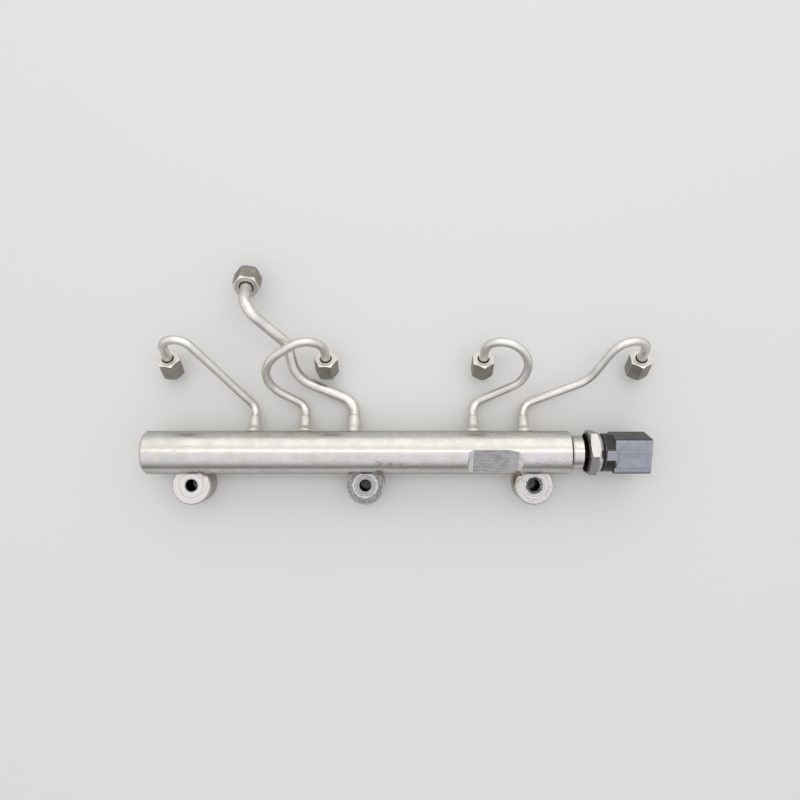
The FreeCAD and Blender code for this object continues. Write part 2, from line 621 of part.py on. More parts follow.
def sensor_connector():
    """Moulded plastic: a round neck held by the crimp, a box with ribs and an open socket."""
    body = new_body("sensor_connector", SENSOR_PLACE, CONNECTOR_TURN)
    box_start = f"{RING_END} + connector_neck"
    box_end = f"{box_start} + connector_length"
    sketch = new_sketch(body, "box_outline", "YZ_Plane", lift=box_start)
    half, tall = "connector_width / 2", "connector_height / 2"
    draw_outline(sketch, [
        (f"0 - {half}", f"0 - {tall}"), (half, f"0 - {tall}"), (half, tall), (f"0 - {half}", tall)])
    box = add_feature(body, "Pad", "box", sketch, Length="connector_length")
    rounded = body.newObject("PartDesign::Fillet", "rounded_edges")
    rounded.Base = (box, long_edges(box.Shape, value("connector_length") - 0.01))
    rounded.setExpression("Radius", formula("min(connector_round; socket_wall)"))
    doc.recompute()
    foot = "crimp_end_diameter / 2 - crimp_wall - crimp_gap"
    turn_round(body, "neck", [
        ("hex_stand + hex_length", "0"),
        ("hex_stand + hex_length", foot),
        (f"{RING_END} + connector_neck_gap", foot),
        (f"{RING_END} + connector_neck_gap", "connector_neck_diameter / 2"),
        (f"{box_start} + 1", "connector_neck_diameter / 2"),
        (f"{box_start} + 1", "0"),
    ])
    for name, across in (("first_rib", "rib_left"), ("second_rib", "0 - rib_right")):
        sketch = new_sketch(body, name + "_outline", "YZ_Plane", lift=box_start)
        left, right = f"{across} - rib_width / 2", f"{across} + rib_width / 2"
        draw_outline(sketch, [
            (left, f"{tall} - 1"), (right, f"{tall} - 1"),
            (right, f"{tall} + rib_height"), (left, f"{tall} + rib_height")])
        add_feature(body, "Pad", name, sketch, Length="connector_length")
    sketch = new_sketch(body, "latch_outline", "YZ_Plane", lift=f"{box_start} - latch_length")
    side, top = "latch_width / 2", "connector_neck_diameter / 2 + latch_height"
    draw_outline(sketch, [
        (f"latch_shift - {side}", "connector_neck_diameter / 4"),
        (f"latch_shift + {side}", "connector_neck_diameter / 4"),
        (f"latch_shift + {side}", top), (f"latch_shift - {side}", top)])
    add_feature(body, "Pad", "latch", sketch, Length="latch_length")
    sketch = new_sketch(body, "socket_outline", "YZ_Plane", lift=f"{box_end} - socket_reach")
    wide, high = f"({half} - socket_wall)", f"({tall} - socket_wall)"
    draw_outline(sketch, [
        (f"0 - {wide}", f"0 - {high}"), (wide, f"0 - {high}"), (wide, high), (f"0 - {wide}", high)])
    add_feature(body, "Pocket", "socket", sketch, Length="socket_reach + 1", Reversed=True)
    sketch = new_sketch(body, "terminal_slots_outline", "YZ_Plane", lift=f"{box_end} - socket_reach")
    for number in (-1, 0, 1):
        draw_blade(sketch, number, "crimp_gap / 2")
    add_feature(body, "Pocket", "terminal_slots", sketch, Length="terminal_root")
    return body


def draw_blade(sketch, number, clearance):
    """A terminal's cross-section, grown by a clearance all round."""
    middle = f"{number} * terminal_pitch" if number > 0 else f"0 - {-number} * terminal_pitch"
    wide, thick = f"(terminal_width / 2 + {clearance})", f"(terminal_thickness / 2 + {clearance})"
    draw_outline(sketch, [
        (f"{middle} - {wide}", f"0 - {thick}"), (f"{middle} + {wide}", f"0 - {thick}"),
        (f"{middle} + {wide}", thick), (f"{middle} - {wide}", thick)])


def terminal(name, number):
    """A stamped blade standing in the socket's floor."""
    body = new_body(name, SENSOR_PLACE, CONNECTOR_TURN)
    floor = f"{RING_END} + connector_neck + connector_length - socket_reach"
    sketch = new_sketch(body, "blade_outline", "YZ_Plane", lift=f"{floor} - terminal_root")
    draw_blade(sketch, number, "0")
    add_feature(body, "Pad", "blade", sketch, Length="terminal_root + terminal_reach")
    return body


pieces = [
    rail_body(),
    boss("mounting_boss_left", "0 - boss_left_reach", "bolt_hole_chamfer"),
    boss("mounting_boss_centre", "0", "bolt_hole_chamfer"),
    boss("mounting_boss_right", "boss_right_reach", "bolt_countersink"),
]
for number in range(1, 5):
    where = injector_nut_place(number)
    outlet = f"outlet_{number}"
    pieces += [
        ferrule(f"injector_ferrule_{number}", outlet, "line", "ferrule_foot_spread"),
        line(f"injector_line_{number}", f"line_{number}", outlet, where, NUT_TURN, "nut", "line",
             (f"outlet_straight_{number}", f"nut_straight_{number}")),
        nipple(f"injector_nipple_{number}", where, NUT_TURN, "nut", "line", "sleeve_stand"),
        union_nut(f"injector_nut_{number}", where, NUT_TURN, "nut", "line", f"spin_{number}"),
    ]
pieces += [
    ferrule("feed_ferrule", "outlet_feed", "feed", "0"),
    line("feed_line", "line_feed", "outlet_feed", FEED_NUT_PLACE, FEED_NUT_TURN, "feed_nut", "feed",
         ("feed_outlet_straight", "feed_nut_straight")),
    nipple("feed_nipple", FEED_NUT_PLACE, FEED_NUT_TURN, "feed_nut", "feed", "feed_sleeve_stand"),
    union_nut("feed_nut", FEED_NUT_PLACE, FEED_NUT_TURN, "feed_nut", "feed", "spin_feed"),
    sensor_housing(),
    sensor_connector(),
    terminal("sensor_terminal_1", -1),
    terminal("sensor_terminal_2", 0),
    terminal("sensor_terminal_3", 1),
]

doc.recompute()
for item in doc.Objects:
    if "Invalid" in item.State or "Error" in item.State:
        raise ValueError(f"{item.Name} did not build: {item.State}")
for piece in pieces:
    if piece.Shape.isNull() or not piece.Shape.isValid() or len(piece.Shape.Solids) != 1:
        raise ValueError(f"{piece.Label} is not one sound solid")

os.makedirs("parts", exist_ok=True)
for piece in pieces:
    piece.Shape.exportStep(f"parts/{piece.Label}.step")
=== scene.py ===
import json
import math

import bpy
from mathutils import Matrix, Vector


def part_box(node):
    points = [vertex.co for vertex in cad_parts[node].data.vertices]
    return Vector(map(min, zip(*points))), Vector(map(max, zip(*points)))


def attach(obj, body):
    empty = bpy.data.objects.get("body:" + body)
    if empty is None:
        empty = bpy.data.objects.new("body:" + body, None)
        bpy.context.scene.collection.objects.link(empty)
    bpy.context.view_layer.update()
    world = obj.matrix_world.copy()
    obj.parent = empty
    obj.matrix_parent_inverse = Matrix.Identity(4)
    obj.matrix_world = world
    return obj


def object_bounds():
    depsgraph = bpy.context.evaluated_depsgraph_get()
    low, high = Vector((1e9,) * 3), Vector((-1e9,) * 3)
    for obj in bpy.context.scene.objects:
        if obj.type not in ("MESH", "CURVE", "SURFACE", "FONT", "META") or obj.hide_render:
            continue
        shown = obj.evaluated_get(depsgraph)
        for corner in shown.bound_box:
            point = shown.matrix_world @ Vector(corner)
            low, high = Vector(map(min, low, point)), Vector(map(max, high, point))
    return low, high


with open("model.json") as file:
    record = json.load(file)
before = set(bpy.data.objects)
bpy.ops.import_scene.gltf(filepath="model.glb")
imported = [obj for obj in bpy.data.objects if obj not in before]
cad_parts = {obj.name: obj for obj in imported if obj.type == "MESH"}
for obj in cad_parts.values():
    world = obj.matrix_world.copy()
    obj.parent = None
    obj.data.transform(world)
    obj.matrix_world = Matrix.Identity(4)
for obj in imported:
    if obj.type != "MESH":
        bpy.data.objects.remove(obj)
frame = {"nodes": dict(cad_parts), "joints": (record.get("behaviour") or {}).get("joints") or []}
nodes = frame["nodes"]
cad_box = [list(corner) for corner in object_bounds()]

# Rail tube. One thick steel tube, turned outside, closed on the left and stepped down on the right
# for the sensor. Plated and satin, with fine marks along its length, a pressed flat that is rubbed
# grey, and rust at the brazed joints.

low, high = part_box("rail_body")
rail_axis = Vector((0.0, (low.y + high.y) / 2, (low.z + high.z) / 2))
rail_radius = (high.y - low.y) / 2


def on_tube(x, y):
    """The point of the tube's upper side at x and y."""
    return (x, y, rail_axis.z + math.sqrt(rail_radius ** 2 - (y - rail_axis.y) ** 2))


def feed(tree, socket, entry):
    """Link a socket to another one, or set its plain value."""
    if isinstance(entry, bpy.types.NodeSocket):
        tree.links.new(entry, socket)
    else:
        socket.default_value = entry


def add(tree, kind, **entries):
    """Add a shader node; a capital names an input, a small letter a property."""
    made = tree.nodes.new("ShaderNode" + kind)
    for name, entry in entries.items():
        if name[0].islower():
            setattr(made, name, entry)
    for name, entry in entries.items():
        if name[0].isupper():
            feed(tree, made.inputs[name.replace("_", " ")], entry)
    return made


def maths(tree, operation, first, second=0.0):
    """A sum, product or the like of two numbers."""
    made = add(tree, "Math", operation=operation)
    feed(tree, made.inputs[0], first)
    feed(tree, made.inputs[1], second)
    return made.outputs["Value"]


def vectors(tree, operation, first, second=(0.0, 0.0, 0.0), output="Vector"):
    """The same for two vectors."""
    made = add(tree, "VectorMath", operation=operation)
    feed(tree, made.inputs[0], first)
    feed(tree, made.inputs[1], second)
    return made.outputs[output]


def ramp(tree, entry, start, end, first=0.0, last=1.0):
    """A smooth rise from first to last as the entry goes from start to end."""
    made = add(tree, "MapRange", interpolation_type="SMOOTHSTEP", Value=entry,
               From_Min=start, From_Max=end, To_Min=first, To_Max=last)
    return made.outputs["Result"]


def band(tree, entry, start, end, soft):
    """White between start and end, with soft edges."""
    rise = ramp(tree, entry, start - soft, start)
    return maths(tree, "MULTIPLY", rise, ramp(tree, entry, end, end + soft, 1.0, 0.0))


def tint(tree, mask, under, over):
    """One colour over another where the mask is white."""
    made = add(tree, "Mix", data_type="RGBA")
    for socket, entry in zip((made.inputs[0], made.inputs[6], made.inputs[7]), (mask, under, over)):
        feed(tree, socket, entry)
    return made.outputs[2]


def blend(tree, mask, under, over):
    """One number in place of another where the mask is white."""
    made = add(tree, "Mix", data_type="FLOAT")
    for socket, entry in zip((made.inputs[0], made.inputs[2], made.inputs[3]), (mask, under, over)):
        feed(tree, socket, entry)
    return made.outputs[0]


def place_of(tree, centre=(0.0, 0.0, 0.0), stretch=(1.0, 1.0, 1.0)):
    """Object coordinates measured from a centre and stretched."""
    place = tree.nodes.new("ShaderNodeTexCoord").outputs["Object"]
    return vectors(tree, "MULTIPLY", vectors(tree, "SUBTRACT", place, centre), stretch)


def normal_of(tree):
    """The way that the surface faces, in the object's own axes."""
    return tree.nodes.new("ShaderNodeTexCoord").outputs["Normal"]


def part_of(tree, vector, letter):
    """The X, Y or Z of a vector."""
    return add(tree, "SeparateXYZ", Vector=vector).outputs[letter]


def noise(tree, vector, scale, detail=3.0, roughness=0.6):
    """Cloudy noise, mostly between 0.3 and 0.7."""
    made = add(tree, "TexNoise", Vector=vector, Scale=scale, Detail=detail, Roughness=roughness)
    return made.outputs["Fac"]


def new_group(name, inputs, outputs):
    """A shader node group with its sockets, its inputs and its output node."""
    tree = bpy.data.node_groups.new(name, "ShaderNodeTree")
    for label, kind, start in inputs:
        tree.interface.new_socket(label, in_out="INPUT", socket_type=kind).default_value = start
    for label, kind in outputs:
        tree.interface.new_socket(label, in_out="OUTPUT", socket_type=kind)
    return tree, tree.nodes.new("NodeGroupInput").outputs, tree.nodes.new("NodeGroupOutput").inputs


def grain_group():
    """Fine grain, drawn out along the way that the surface was worked."""
    tree, given, out = new_group("worked_grain", [
        ("Vector", "NodeSocketVector", (0.0, 0.0, 0.0)),
        ("Scale", "NodeSocketFloat", 1500.0),
        ("Depth", "NodeSocketFloat", 0.00001),
    ], [("Grain", "NodeSocketFloat"), ("Normal", "NodeSocketVector")])
    fine = noise(tree, given["Vector"], given["Scale"])
    tree.links.new(fine, out["Grain"])
    bump = add(tree, "Bump", Strength=1.0, Distance=given["Depth"], Height=fine)
    tree.links.new(bump.outputs["Normal"], out["Normal"])
    return tree


def wear_group():
    """Where an edge is: the rounded normal turns away from the flat one there."""
    tree, given, out = new_group("edge_wear", [
        ("Width", "NodeSocketFloat", 0.0004),
        ("Break up", "NodeSocketFloat", 900.0),
    ], [("Mask", "NodeSocketFloat")])
    round_off = add(tree, "Bevel", samples=6, Radius=given["Width"])
    flat = tree.nodes.new("ShaderNodeNewGeometry").outputs["Normal"]
    apart = vectors(tree, "DOT_PRODUCT", round_off.outputs["Normal"], flat, "Value")
    edge = ramp(tree, apart, 0.995, 0.86)
    patchy = ramp(tree, noise(tree, place_of(tree), given["Break up"], 2.0), 0.3, 0.6, 0.35, 1.0)
    tree.links.new(maths(tree, "MULTIPLY", edge, patchy), out["Mask"])
    return tree


def stain_group():
    """A ragged stain round one place."""
    tree, given, out = new_group("stain", [
        ("Centre", "NodeSocketVector", (0.0, 0.0, 0.0)),
        ("Reach", "NodeSocketFloat", 0.004),
        ("Ragged", "NodeSocketFloat", 700.0),
    ], [("Mask", "NodeSocketFloat")])
    place = tree.nodes.new("ShaderNodeTexCoord").outputs["Object"]
    apart = vectors(tree, "DISTANCE", place, given["Centre"], "Value")
    near = maths(tree, "SUBTRACT", 1.0, maths(tree, "DIVIDE", apart, given["Reach"]))
    rough = maths(tree, "SUBTRACT", noise(tree, place, given["Ragged"], 5.0, 0.65), 0.5)
    level = maths(tree, "ADD", near, maths(tree, "MULTIPLY", rough, 2.2))
    tree.links.new(ramp(tree, level, 0.25, 0.95), out["Mask"])
    return tree


def scratch_group():
    """Thin lines in one direction, long in the stretched way and broken up."""
    tree, given, out = new_group("scratches", [
        ("Vector", "NodeSocketVector", (0.0, 0.0, 0.0)),
        ("Scale", "NodeSocketFloat", 2600.0),
        ("Amount", "NodeSocketFloat", 0.5),
    ], [("Mask", "NodeSocketFloat")])
    lines = ramp(tree, noise(tree, given["Vector"], given["Scale"], 1.0), 0.58, 0.72)
    patches = ramp(tree, noise(tree, place_of(tree), 160.0, 2.0), 0.42, 0.62)
    shown = maths(tree, "MULTIPLY", maths(tree, "MULTIPLY", lines, patches), given["Amount"])
    tree.links.new(shown, out["Mask"])
    return tree


GRAIN = grain_group()
WEAR = wear_group()
STAIN = stain_group()
SCRATCHES = scratch_group()


def grouped(tree, group, **entries):
    """Place a group in a material with its own values."""
    made = tree.nodes.new("ShaderNodeGroup")
    made.node_tree = group
    for name, entry in entries.items():
        feed(tree, made.inputs[name.replace("_", " ")], entry)
    return made.outputs


RUST = (0.210, 0.098, 0.036, 1.0)
DIRT = (0.10, 0.085, 0.065, 1.0)
EDGE_SHEEN = (0.62, 0.62, 0.60, 1.0)
SCRATCH_SHADE = 0.72
RUST_ROUGHNESS = 0.85


def stained(tree, stains):
    """The mask that a list of stains covers, each with its centre, reach and strength."""
    whole = 0.0
    for centre, reach, strength in stains:
        mask = grouped(tree, STAIN, Centre=centre, Reach=reach)["Mask"]
        whole = maths(tree, "MAXIMUM", whole, maths(tree, "MULTIPLY", mask, strength))
    return whole


def steel(name, colour, worn, roughness, stretch=(1.0, 1.0, 1.0), depth=0.000012, stains=(),
          grime=0.30, cloud=0.93, scratches=0.35, paint=None):
    """Satin steel: grain, faint clouds, scratches, paler edges, grime, a piece's own zones and rust."""
    material = bpy.data.materials.new(name)
    material.use_nodes = True
    tree = material.node_tree
    shader = tree.nodes["Principled BSDF"]
    shader.inputs["Specular Tint"].default_value = EDGE_SHEEN
    grain = grouped(tree, GRAIN, Vector=place_of(tree, stretch=stretch), Depth=depth)
    clouds = noise(tree, place_of(tree), 130.0, 4.0)
    darker = tuple(channel * cloud for channel in colour[:3]) + (1.0,)
    base = tint(tree, ramp(tree, clouds, 0.35, 0.7), darker, colour)
    lines = grouped(tree, SCRATCHES, Vector=place_of(tree, stretch=stretch), Amount=scratches)["Mask"]
    base = tint(tree, lines, base, tuple(channel * SCRATCH_SHADE for channel in colour[:3]) + (1.0,))
    base = tint(tree, maths(tree, "MULTIPLY", ramp(tree, grain["Grain"], 0.62, 0.8), grime), base, DIRT)
    rough = ramp(tree, clouds, 0.3, 0.75, roughness + 0.05, roughness - 0.03)
    rough = maths(tree, "ADD", rough, maths(tree, "MULTIPLY", grain["Grain"], 0.08))
    if paint:
        base, rough = paint(tree, base, rough)
    base = tint(tree, grouped(tree, WEAR)["Mask"], base, worn)
    shader.inputs["Metallic"].default_value = 1.0
    if stains:
        rusty = stained(tree, stains)
        base = tint(tree, rusty, base, RUST)
        rough = maths(tree, "MAXIMUM", rough, maths(tree, "MULTIPLY", rusty, RUST_ROUGHNESS))
        bare_metal = maths(tree, "SUBTRACT", 1.0, maths(tree, "MULTIPLY", rusty, 0.9))
        feed(tree, shader.inputs["Metallic"], bare_metal)
    feed(tree, shader.inputs["Base Color"], base)
    feed(tree, shader.inputs["Roughness"], rough)
    feed(tree, shader.inputs["Normal"], grain["Normal"])
    return material


def finish_node(name, material):
    """Give a CAD piece its material."""
    nodes[name].material_slots[0].material = material


turned_edge = (0.84, 0.83, 0.81, 1.0)
flat_from, flat_to = 0.0560, 0.0960
flat_end_blur = 0.0005
flat_depth_start, flat_depth_full = 0.00006, 0.00022
flat_roughness = 0.50
flat_grey = (0.36, 0.355, 0.345, 1.0)
flat_streak = (0.66, 0.65, 0.64, 1.0)
flat_rim_highlight = (0.80, 0.79, 0.77, 1.0)
smudge = (0.66, 0.62, 0.645, 1.0)
smudge_from, smudge_to, smudge_blur = -0.011, -0.001, 0.003
knock = (0.14, 0.13, 0.12, 1.0)
knocks_start, knocks_end, knocks_end_blur = 0.0980, 0.1250, 0.004
knocks_from, knocks_to, knocks_side_blur = -0.011, -0.003, 0.002


def rail_paint(tree, base, rough):
    """The pressed flat, rubbed grey with streaks and a painted highlight on its sloped ends, and smudges
    and knocks on the bolts' side.
    """
    place = place_of(tree, centre=tuple(rail_axis))
    along = part_of(tree, place, "X")
    aside = part_of(tree, place, "Y")
    radial = vectors(tree, "LENGTH", vectors(tree, "MULTIPLY", place, (0.0, 1.0, 1.0)), output="Value")

    smudges = ramp(tree, noise(tree, place_of(tree, stretch=(0.5, 1.0, 1.0)), 110.0), 0.46, 0.66)
    smudged = maths(tree, "MULTIPLY", smudges, band(tree, aside, smudge_from, smudge_to, smudge_blur))
    base = tint(tree, maths(tree, "MULTIPLY", smudged, 0.8), base, smudge)

    sunk = ramp(tree, radial, rail_radius - flat_depth_start, rail_radius - flat_depth_full)
    pressed = maths(tree, "MULTIPLY", band(tree, along, flat_from, flat_to, flat_end_blur), sunk)
    streaks = ramp(tree, noise(tree, place_of(tree, stretch=(0.07, 1.0, 1.0)), 2200.0), 0.38, 0.72)
    patches = ramp(tree, noise(tree, place, 260.0), 0.40, 0.66)
    marks = maths(tree, "MAXIMUM", streaks, maths(tree, "MULTIPLY", patches, 0.55))
    rubbed = tint(tree, marks, flat_grey, flat_streak)
    # Painted highlight: the flat's sloped ends are painted lighter, broken up by patches.
    sloped = maths(tree, "ABSOLUTE", part_of(tree, normal_of(tree), "X"))
    broken_up = ramp(tree, patches, 0.0, 1.0, 1.0, 0.55)
    rim_highlight = maths(tree, "MULTIPLY", ramp(tree, sloped, 0.06, 0.22), broken_up)
    rubbed = tint(tree, rim_highlight, rubbed, flat_rim_highlight)
    base = tint(tree, pressed, base, rubbed)

    specks = noise(tree, place_of(tree, stretch=(0.35, 1.0, 1.0)), 1500.0, 2.0)
    knocks = ramp(tree, specks, 0.61, 0.68, 0.0, 0.7)
    knocked = maths(tree, "MULTIPLY", band(tree, along, knocks_start, knocks_end, knocks_end_blur),
                    band(tree, aside, knocks_from, knocks_to, knocks_side_blur))
    base = tint(tree, maths(tree, "MULTIPLY", knocks, knocked), base, knock)
    return base, blend(tree, pressed, rough, flat_roughness)


rail_steel = steel(
    "rail_steel", colour=(0.655, 0.635, 0.60, 1.0), worn=turned_edge, roughness=0.22,
    stretch=(0.06, 1.0, 1.0), depth=0.000014, scratches=0.6, cloud=0.89, paint=rail_paint,
    stains=[(on_tube(-0.0931, 0.0085), 0.0042, 1.0), (on_tube(-0.0975, 0.0090), 0.0022, 0.7),
            (on_tube(0.0086, 0.0092), 0.0036, 0.9), (on_tube(0.0085, 0.0130), 0.0046, 0.55),
            (on_tube(0.0150, 0.0128), 0.0048, 0.6), (on_tube(0.0205, 0.0128), 0.0036, 0.45),
            (on_tube(0.0875, 0.0084), 0.0038, 1.0), (on_tube(0.1040, 0.0080), 0.0034, 0.6),
            ((-0.0930, 0.0075, 0.0195), 0.0052, 1.0), ((0.0085, 0.0075, 0.0195), 0.0062, 1.0),
            ((0.0885, 0.0075, 0.0195), 0.0060, 1.0), ((0.1060, 0.0080, 0.0160), 0.0040, 0.7),
            ((-0.1090, 0.0080, 0.0160), 0.0034, 0.6), ((-0.0080, 0.0080, 0.0160), 0.0036, 0.6)])
finish_node("rail_body", rail_steel)

# Bolt bosses. Three turned steel bushes, coped to the tube and brazed to its side. Their faces are
# bright, with the bolt heads' rings in them; the middle one is the greyest, and the right one has a
# worn lead-in and rust down its left wall.

boss_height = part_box("mounting_boss_left")[1].z
boss_radius = (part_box("mounting_boss_left")[1].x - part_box("mounting_boss_left")[0].x) / 2
bolt_hole_radius = 0.0035
hole_wall_blur_start, hole_wall_blur_end = 0.0001, 0.0004
hole_dark_start, hole_dark_full = 0.0003, 0.0015
lead_in_radius = 0.0052
lead_in_blur = 0.0002
lead_in_depth, lead_in_full = 0.0020, 0.0010
zone_blur = 0.00012
zone_waver = 0.0012
mottle_start, mottle_full = 0.0068, 0.0078
ring_grey = (0.30, 0.29, 0.29, 1.0)
mottle_grey = (0.13, 0.125, 0.125, 1.0)
hole_shade_black = (0.010, 0.010, 0.010, 1.0)
lead_in_dark = (0.12, 0.12, 0.13, 1.0)
lead_in_pale = (0.55, 0.54, 0.54, 1.0)
face_roughness = 0.42


def turned_group():
    """Turning marks: fine rings, from how far a point is from the axis."""
    tree, given, out = new_group("turning_marks", [
        ("Radius", "NodeSocketFloat", 0.0),
        ("Scale", "NodeSocketFloat", 3200.0),
    ], [("Mask", "NodeSocketFloat")])
    marks = add(tree, "TexNoise", noise_dimensions="1D", W=given["Radius"], Scale=given["Scale"],
                Detail=2.0)
    tree.links.new(marks.outputs["Fac"], out["Mask"])
    return tree


TURNED = turned_group()


def boss_finish(name, rings, ring_depth, mottle, stains, worn_lead_in=False):
    """A boss's steel. rings: each zone's outer radius and colour, from the hole outwards."""
    low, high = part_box(name)
    middle = ((low.x + high.x) / 2, 0.0, 0.0)

    def boss_paint(tree, base, rough):
        """The face's zones, turning marks and mottle, painted shade, black, in the bolt hole, and the worn
        lead-in.
        """
        place = place_of(tree, centre=middle)
        radial = vectors(tree, "LENGTH", vectors(tree, "MULTIPLY", place, (1.0, 1.0, 0.0)), output="Value")
        height = part_of(tree, place, "Z")
        face = ramp(tree, part_of(tree, normal_of(tree), "Z"), 0.85, 0.95)

        uneven = maths(tree, "SUBTRACT", noise(tree, place, 420.0), 0.5)
        reach = maths(tree, "ADD", radial, maths(tree, "MULTIPLY", uneven, zone_waver))
        zone = rings[0][1]
        for (edge, _), (_, colour) in zip(rings, rings[1:]):
            zone = tint(tree, ramp(tree, reach, edge - zone_blur, edge + zone_blur), zone, colour)
        turned = grouped(tree, TURNED, Radius=radial, Scale=3200.0)["Mask"]
        zone = tint(tree, ramp(tree, turned, 0.40, 0.62, 0.0, ring_depth), zone, ring_grey)
        mottled = ramp(tree, noise(tree, place, 620.0, 5.0, 0.75), 0.45, 0.58, 0.0, mottle)
        outer = ramp(tree, radial, mottle_start, mottle_full, 0.35, 1.0)
        mottled = maths(tree, "MULTIPLY", mottled, outer)
        zone = tint(tree, mottled, zone, mottle_grey)
        base = tint(tree, face, base, zone)

        # Painted shade: the bolt hole's wall is painted black from just below the face down.
        within = ramp(tree, radial, bolt_hole_radius + hole_wall_blur_end,
                      bolt_hole_radius + hole_wall_blur_start)
        below = ramp(tree, height, boss_height - hole_dark_start, boss_height - hole_dark_full)
        base = tint(tree, maths(tree, "MULTIPLY", within, below), base, hole_shade_black)
        if worn_lead_in:
            around = band(tree, radial, bolt_hole_radius, lead_in_radius, lead_in_blur)
            above = ramp(tree, height, boss_height - lead_in_depth, boss_height - lead_in_full)
            cone = maths(tree, "MULTIPLY", around, above)
            pits = ramp(tree, noise(tree, place, 1300.0), 0.42, 0.58)
            base = tint(tree, cone, base, tint(tree, pits, lead_in_dark, lead_in_pale))
        return base, blend(tree, face, rough, face_roughness)

    finish_node(name, steel(
        name + "_steel", colour=(0.62, 0.60, 0.57, 1.0), worn=turned_edge, roughness=0.42,
        depth=0.00002, stains=stains, paint=boss_paint))


boss_finish("mounting_boss_left", ring_depth=0.35, mottle=0.12, rings=[
    (0.0044, (0.60, 0.60, 0.60, 1.0)), (0.0070, (0.76, 0.75, 0.74, 1.0)),
    (0.0073, (0.42, 0.41, 0.41, 1.0)), (0.0200, (0.78, 0.75, 0.72, 1.0))],
    stains=[((-0.0935, 0.0068, boss_height), 0.0030, 1.0), ((-0.0930, 0.0074, 0.0130), 0.0040, 0.8)])
boss_finish("mounting_boss_centre", ring_depth=0.75, mottle=0.75, rings=[
    (0.0043, (0.66, 0.65, 0.64, 1.0)), (0.0050, (0.28, 0.28, 0.28, 1.0)),
    (0.0054, (0.62, 0.61, 0.60, 1.0)), (0.0063, (0.40, 0.39, 0.39, 1.0)),
    (0.0073, (0.78, 0.77, 0.76, 1.0)), (0.0200, (0.33, 0.32, 0.31, 1.0))],
    stains=[((0.0078, 0.0070, boss_height), 0.0030, 0.8), ((0.0105, 0.0030, 0.0120), 0.0060, 0.75)])
boss_finish("mounting_boss_right", ring_depth=0.50, mottle=0.28, worn_lead_in=True, rings=[
    (0.0054, (0.34, 0.34, 0.34, 1.0)), (0.0060, (0.76, 0.75, 0.74, 1.0)),
    (0.0064, (0.46, 0.46, 0.46, 1.0)), (0.0079, (0.74, 0.73, 0.71, 1.0)),
    (0.0082, (0.50, 0.49, 0.48, 1.0)), (0.0200, (0.76, 0.74, 0.71, 1.0))],
    stains=[((0.0880, 0.0030, 0.0110), 0.0085, 1.0), ((0.0905, 0.0068, boss_height), 0.0036, 1.0),
            ((0.0908, -0.0080, 0.0120), 0.0046, 0.8)])

braze_dark = (0.34, 0.28, 0.20, 1.0)
braze_pale = (0.66, 0.62, 0.56, 1.0)


def braze_material():
    """Brass-brown braze metal, dull and pitted, with dirt in it."""
    material = bpy.data.materials.new("braze_metal")
    material.use_nodes = True
    tree = material.node_tree
    shader = tree.nodes["Principled BSDF"]
    shader.inputs["Metallic"].default_value = 1.0
    patches = noise(tree, place_of(tree), 700.0, 4.0)
    base = tint(tree, ramp(tree, patches, 0.38, 0.62), braze_dark, braze_pale)
    feed(tree, shader.inputs["Base Color"], base)
    feed(tree, shader.inputs["Roughness"], ramp(tree, patches, 0.3, 0.7, 0.62, 0.40))
    grain = grouped(tree, GRAIN, Vector=place_of(tree), Scale=1400.0, Depth=0.00006)
    feed(tree, shader.inputs["Normal"], grain["Normal"])
    return material


braze_metal = braze_material()


def rounded_bead(thickness):
    """Make the active loop of edges a round bead of that radius, with its place in its mesh."""
    bpy.ops.object.convert(target="CURVE")
    bpy.context.object.data.bevel_depth = thickness
    bpy.context.object.data.bevel_resolution = 3
    bpy.ops.object.convert(target="MESH")
    bpy.ops.object.transform_apply(location=True, rotation=True, scale=True)
    bpy.ops.object.shade_smooth()


def press_on_tube(upwards):
    """Push the active loop along its own Z until it lies on the tube."""
    bpy.ops.object.modifier_add(type="SHRINKWRAP")
    press = bpy.context.object.modifiers[0]
    press.target = nodes["rail_body"]
    press.wrap_method = "PROJECT"
    press.use_project_z = True
    press.use_positive_direction = upwards
    press.use_negative_direction = not upwards
    bpy.ops.object.modifier_apply(modifier=press.name)


def copies(names, steps):
    """The active piece under the first name, and a copy with its own mesh at each step from it."""
    made = [bpy.context.object]
    for step in steps:
        bpy.ops.object.select_all(action="DESELECT")
        made[0].select_set(True)
        bpy.context.view_layer.objects.active = made[0]
        bpy.ops.object.duplicate(linked=False)
        bpy.ops.transform.translate(value=step)
        bpy.ops.object.transform_apply(location=True, rotation=True, scale=True)
        made.append(bpy.context.object)
    for piece, name in zip(made, names):
        piece.name = name
    return made


def brazed(pieces):
    """Braze metal on the pieces, which stay on the rail."""
    for piece in pieces:
        piece.data.materials.clear()
        piece.data.materials.append(braze_metal)
        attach(piece, "rail")


boss_names = ["mounting_boss_left", "mounting_boss_centre", "mounting_boss_right"]
boss_middles = [(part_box(name)[0].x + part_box(name)[1].x) / 2 for name in boss_names]
seam_start = rail_axis.y - math.sqrt(rail_radius ** 2 - (rail_axis.z - boss_height) ** 2)
seam_clear = 0.00001
bpy.ops.object.select_all(action="DESELECT")
bpy.ops.mesh.primitive_circle_add(vertices=96, radius=boss_radius, location=(boss_middles[0], 0.0, 0.0))
bpy.ops.object.mode_set(mode="EDIT")
bpy.ops.mesh.select_all(action="SELECT")
bpy.ops.mesh.bisect(
    plane_co=(0.0, seam_start + seam_clear, 0.0), plane_no=(0.0, 1.0, 0.0), clear_inner=True)
bpy.ops.mesh.edge_face_add()
bpy.ops.mesh.subdivide(number_cuts=24)
bpy.ops.object.mode_set(mode="OBJECT")
press_on_tube(upwards=True)
rounded_bead(thickness=0.0006)
brazed(copies(["braze_boss_left", "braze_boss_centre", "braze_boss_right"],
              [(middle - boss_middles[0], 0.0, 0.0) for middle in boss_middles[1:]]))

# Ferrules. A turned steel socket for each line, brazed over a hole in the tube. Their finish is a
# little rougher and warmer than the tube's, and a ring of braze fills the corner round each foot and
# at the mouth.

